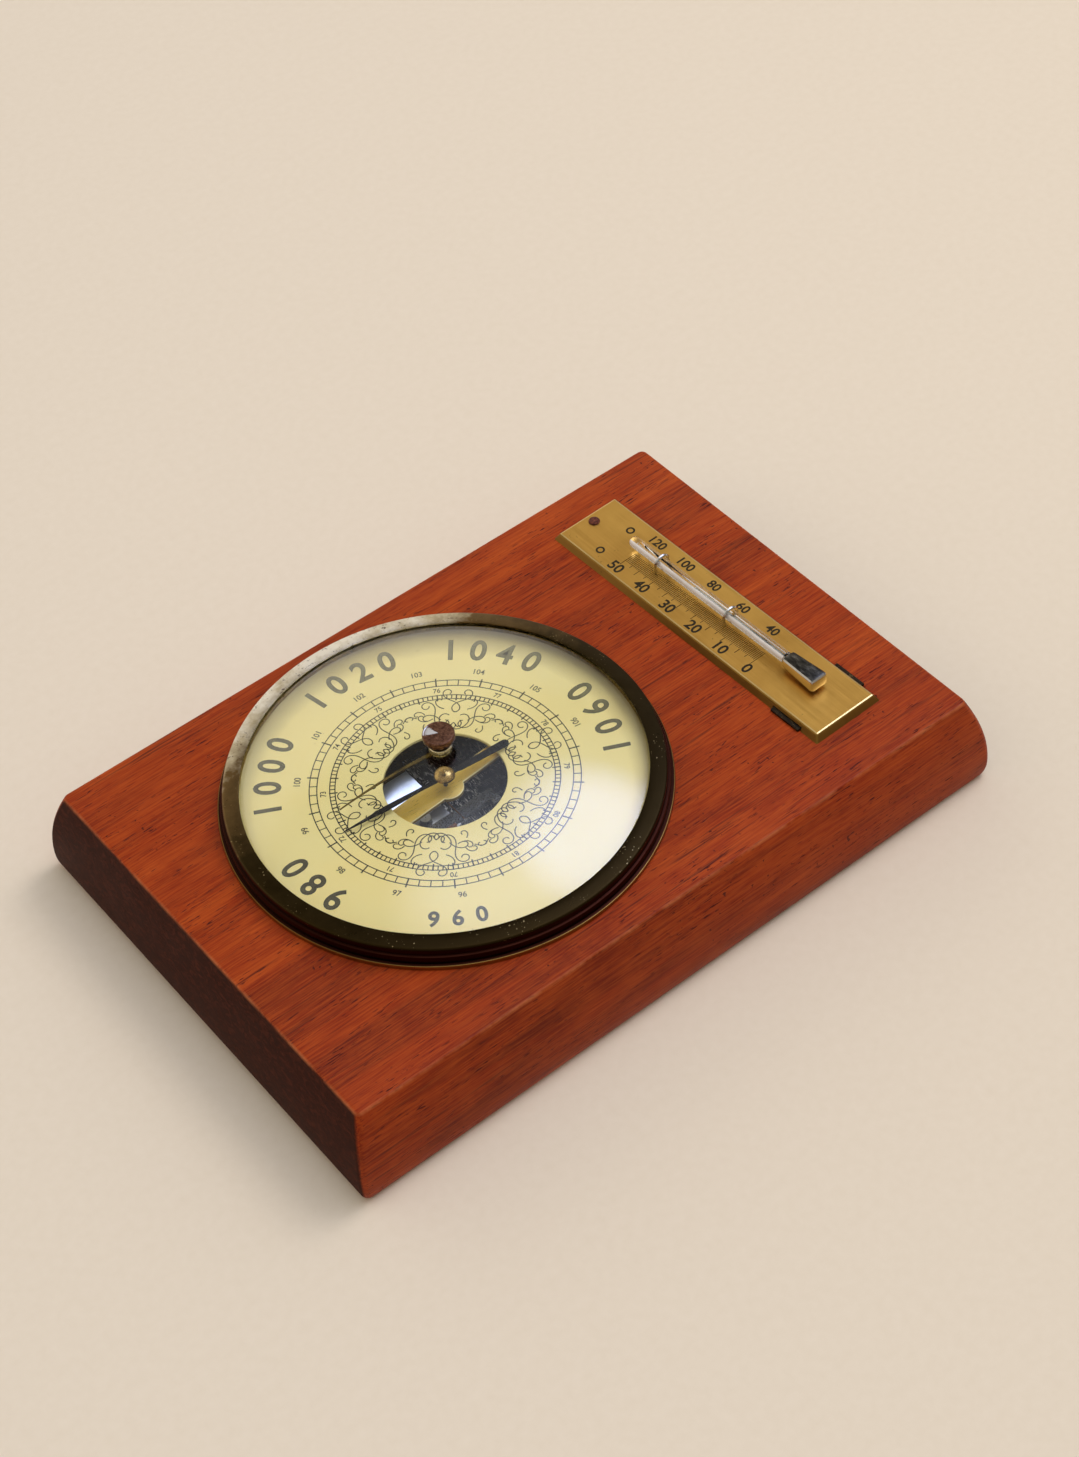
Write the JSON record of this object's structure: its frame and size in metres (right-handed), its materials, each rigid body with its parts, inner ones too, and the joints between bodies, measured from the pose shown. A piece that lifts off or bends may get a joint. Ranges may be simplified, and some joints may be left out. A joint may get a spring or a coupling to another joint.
{
  "type": "aneroid barometer",
  "caption": "Wooden board barometer with a round aneroid dial under a domed glass with a set hand, and a brass thermometer plate beside it; it lies on its back.",
  "frame": {"origin": "centre of the overall box on the board's back face, which lies on the table", "axes": "+Z out of the dial, +X along the board towards the thermometer, +Y towards the top of the dial and of the thermometer"},
  "size_m": [0.221, 0.152, 0.0523],
  "materials": {
    "wood": "satin varnish, worn at the edges",
    "antique_brass": "darkened, pitted",
    "brass": "dull, spotted",
    "steel": "polished",
    "black_steel": "blackened, satin",
    "bronze": "brown, polished",
    "copper": "satin",
    "silver": "bright",
    "dial": "aged matt face",
    "glass": "clear",
    "rust": "rusty"
  },
  "bodies": {
    "board": {"wood_block": "wood", "case_can": "antique_brass", "case_screw_1": "steel", "case_screw_2": "steel", "case_screw_3": "steel", "bezel": "antique_brass", "dial_plate": "dial", "glass_retaining_ring": "brass", "glass": "glass", "glass_bush": "brass", "base_plate": "brass", "base_screw_1": "steel", "base_screw_2": "steel", "base_screw_3": "steel", "aneroid_capsule": "silver", "mainspring": "steel", "spring_screw_1": "steel", "shaft_bracket": "brass", "arbor_plate": "black_steel", "plate_pillar_1": "brass", "plate_pillar_2": "brass", "plate_pillar_3": "brass", "plate_screw_1": "steel", "plate_screw_2": "steel", "plate_screw_3": "steel", "bridge": "brass", "bridge_screw_1": "steel", "bridge_screw_2": "steel", "hairspring": "bronze", "hairspring_stud": "brass", "bridge_pillar_left": "brass", "bridge_pillar_right": "brass", "thermometer_plate": "brass", "plate_nail": "rust", "plate_lower_bracket": "black_steel", "bracket_screw": "steel", "thermometer_tube": "glass", "thermometer_column": "silver", "thermometer_bulb": "silver", "tube_clip_upper": "silver", "tube_clip_lower": "silver", "hanger_plate": "steel", "hanger_screw_1": "steel", "hanger_screw_2": "steel"},
    "set_hand": {"set_knob": "bronze", "set_hand": "brass", "set_hand_nut": "brass"},
    "pointer": {"pointer": "black_steel", "pointer_cap": "brass", "pointer_arbor": "steel"},
    "rocking_shaft": {"rocking_shaft": "steel"},
    "chain": {"chain": "bronze"},
    "main_lever": {"main_lever": "steel", "lever_screw_1": "steel", "lever_screw_2": "steel", "compensating_strip": "copper", "lever_link": "steel", "post_pin": "steel"},
    "adjusting_screw": {"adjusting_screw": "steel"}
  },
  "joints": [
    {"name": "set_hand_turn", "type": "hinge", "parent": "board", "child": "set_hand", "pos_m": [-0.0226, 0.0016, 0.03], "axis": [0, 0, 1], "continuous": true},
    {"name": "pointer_turn", "type": "hinge", "parent": "board", "child": "pointer", "pos_m": [-0.0226, 0.0016, 0.03], "axis": [0, 0, 1], "range_deg": [-235, 65], "deforming": ["hairspring"]},
    {"name": "rocking_shaft_turn", "type": "hinge", "parent": "board", "child": "rocking_shaft", "pos_m": [-0.0226, -0.0074, 0.019], "axis": [1, 0, 0], "range_deg": [-29, 8]},
    {"name": "chain_pull", "type": "slide", "parent": "board", "child": "chain", "axis": [0, 1, 0], "range_m": [-0.0007, 0.0025]},
    {"name": "main_lever_tilt", "type": "hinge", "parent": "board", "child": "main_lever", "pos_m": [-0.0536, 0.0016, 0.0134], "axis": [0, 1, 0], "range_deg": [-0.3, 1.1], "stiffness_Nm_per_rad": 0.00032, "springref_deg": -87.38, "deforming": ["mainspring", "aneroid_capsule"]},
    {"name": "adjusting_screw_turn", "type": "hinge", "parent": "board", "child": "adjusting_screw", "pos_m": [-0.0471, 0.0056, 0.004], "axis": [0, 0, 1], "range_deg": [-360, 360]}
  ],
  "couplings": [
    {"joint": "rocking_shaft_turn", "follows": "pointer_turn", "ratio": 0.12},
    {"joint": "chain_pull", "follows": "pointer_turn", "m_per_rad": -0.0006},
    {"joint": "main_lever_tilt", "follows": "pointer_turn", "ratio": -0.00457}
  ]
}
